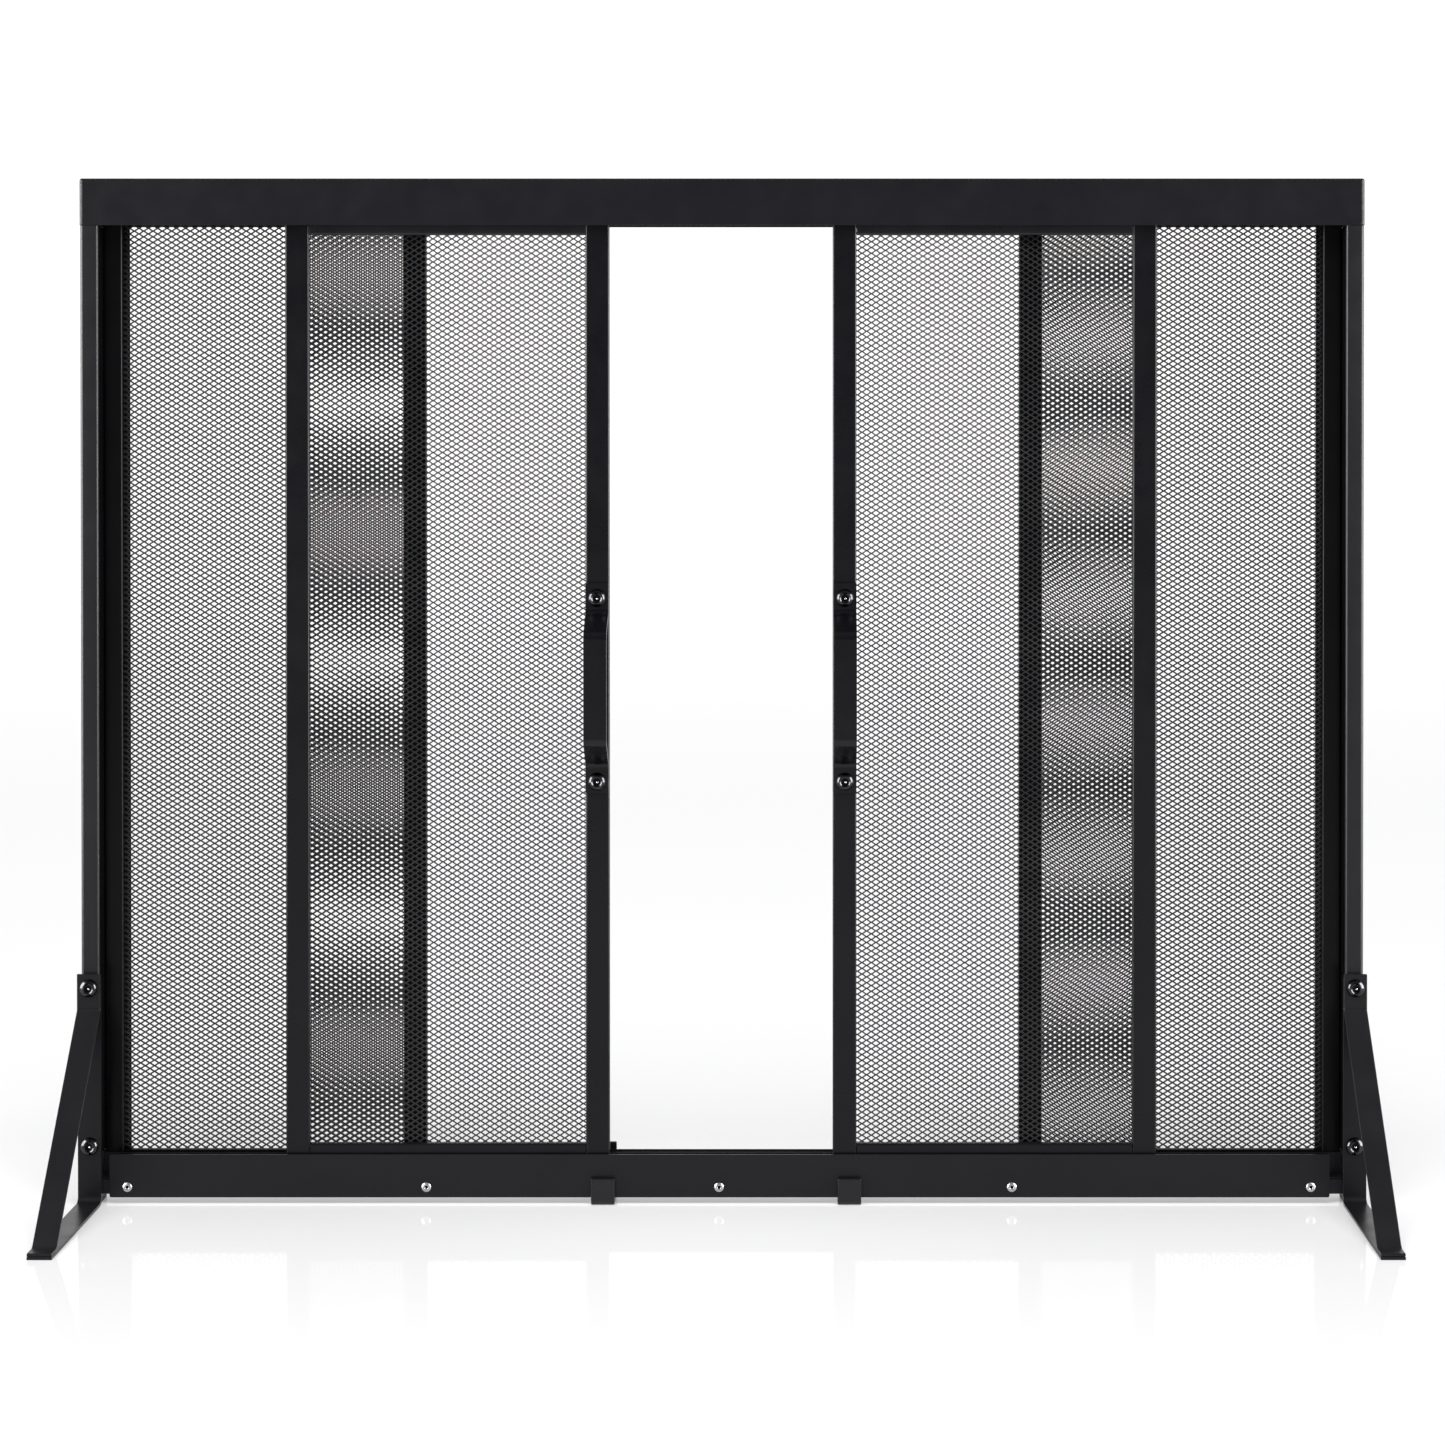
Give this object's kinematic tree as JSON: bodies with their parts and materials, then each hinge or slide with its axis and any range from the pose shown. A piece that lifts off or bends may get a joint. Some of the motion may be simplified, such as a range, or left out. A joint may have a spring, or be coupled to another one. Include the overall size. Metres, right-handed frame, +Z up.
{
  "type": "fireplace screen",
  "caption": "Freestanding fireplace screen with black steel frame, fixed mesh panels at the sides and sliding mesh doors with bent pull handles in the middle.",
  "frame": {"origin": "centre of the bounding box in plan, on the floor under the screen", "axes": "+X to the viewer's right along the rails, -Y out of the front towards the room, +Z up"},
  "size_m": [0.9924, 0.1966, 0.7905],
  "materials": {
    "powder_coat": "black satin powder coat with fine grain",
    "mesh_black": "black coated expanded metal",
    "bolt_steel": "polished dark-plated button-head screws",
    "rivet_aluminium": "bare bright pop rivets",
    "cap_plastic": "matt black moulded nylon"
  },
  "bodies": {
    "frame": {"top_rail": "powder_coat", "top_track": "powder_coat", "bottom_track": "powder_coat", "bottom_bar": "powder_coat", "front_rail": "powder_coat", "rivet_1": "rivet_aluminium", "rivet_2": "rivet_aluminium", "rivet_3": "rivet_aluminium", "rivet_4": "rivet_aluminium", "rivet_5": "rivet_aluminium", "left_post": "powder_coat", "left_post_cap": "cap_plastic", "left_post_insert": "cap_plastic", "left_foot_base": "powder_coat", "left_foot_brace": "powder_coat", "left_foot_bolt_upper": "bolt_steel", "left_foot_bolt_lower": "bolt_steel", "left_clip": "powder_coat", "left_panel_inner_stile": "powder_coat", "left_panel_outer_stile": "powder_coat", "left_panel_bottom_bar": "powder_coat", "left_panel_top_bar": "powder_coat", "left_panel_mesh": "mesh_black", "right_post": "powder_coat", "right_post_cap": "cap_plastic", "right_post_insert": "cap_plastic", "right_foot_base": "powder_coat", "right_foot_brace": "powder_coat", "right_foot_bolt_upper": "bolt_steel", "right_foot_bolt_lower": "bolt_steel", "right_clip": "powder_coat", "right_panel_inner_stile": "powder_coat", "right_panel_outer_stile": "powder_coat", "right_panel_bottom_bar": "powder_coat", "right_panel_top_bar": "powder_coat", "right_panel_mesh": "mesh_black"},
    "left_door": {"left_door_inner_stile": "powder_coat", "left_door_outer_stile": "powder_coat", "left_door_bottom_bar": "powder_coat", "left_door_top_bar": "powder_coat", "left_door_mesh": "mesh_black", "left_door_glide_inner": "cap_plastic", "left_door_glide_outer": "cap_plastic", "left_door_guide_inner": "cap_plastic", "left_door_guide_outer": "cap_plastic", "left_handle": "powder_coat", "left_handle_bolt_lower": "bolt_steel", "left_handle_bolt_upper": "bolt_steel"},
    "right_door": {"right_door_inner_stile": "powder_coat", "right_door_outer_stile": "powder_coat", "right_door_bottom_bar": "powder_coat", "right_door_top_bar": "powder_coat", "right_door_mesh": "mesh_black", "right_door_glide_inner": "cap_plastic", "right_door_glide_outer": "cap_plastic", "right_door_guide_inner": "cap_plastic", "right_door_guide_outer": "cap_plastic", "right_handle": "powder_coat", "right_handle_bolt_lower": "bolt_steel", "right_handle_bolt_upper": "bolt_steel"}
  },
  "joints": [
    {"name": "left_door_slide", "type": "slide", "parent": "frame", "child": "left_door", "axis": [1, 0, 0], "range_m": [-0.141, 0.0855]},
    {"name": "right_door_slide", "type": "slide", "parent": "frame", "child": "right_door", "axis": [-1, 0, 0], "range_m": [-0.141, 0.0855]}
  ]
}
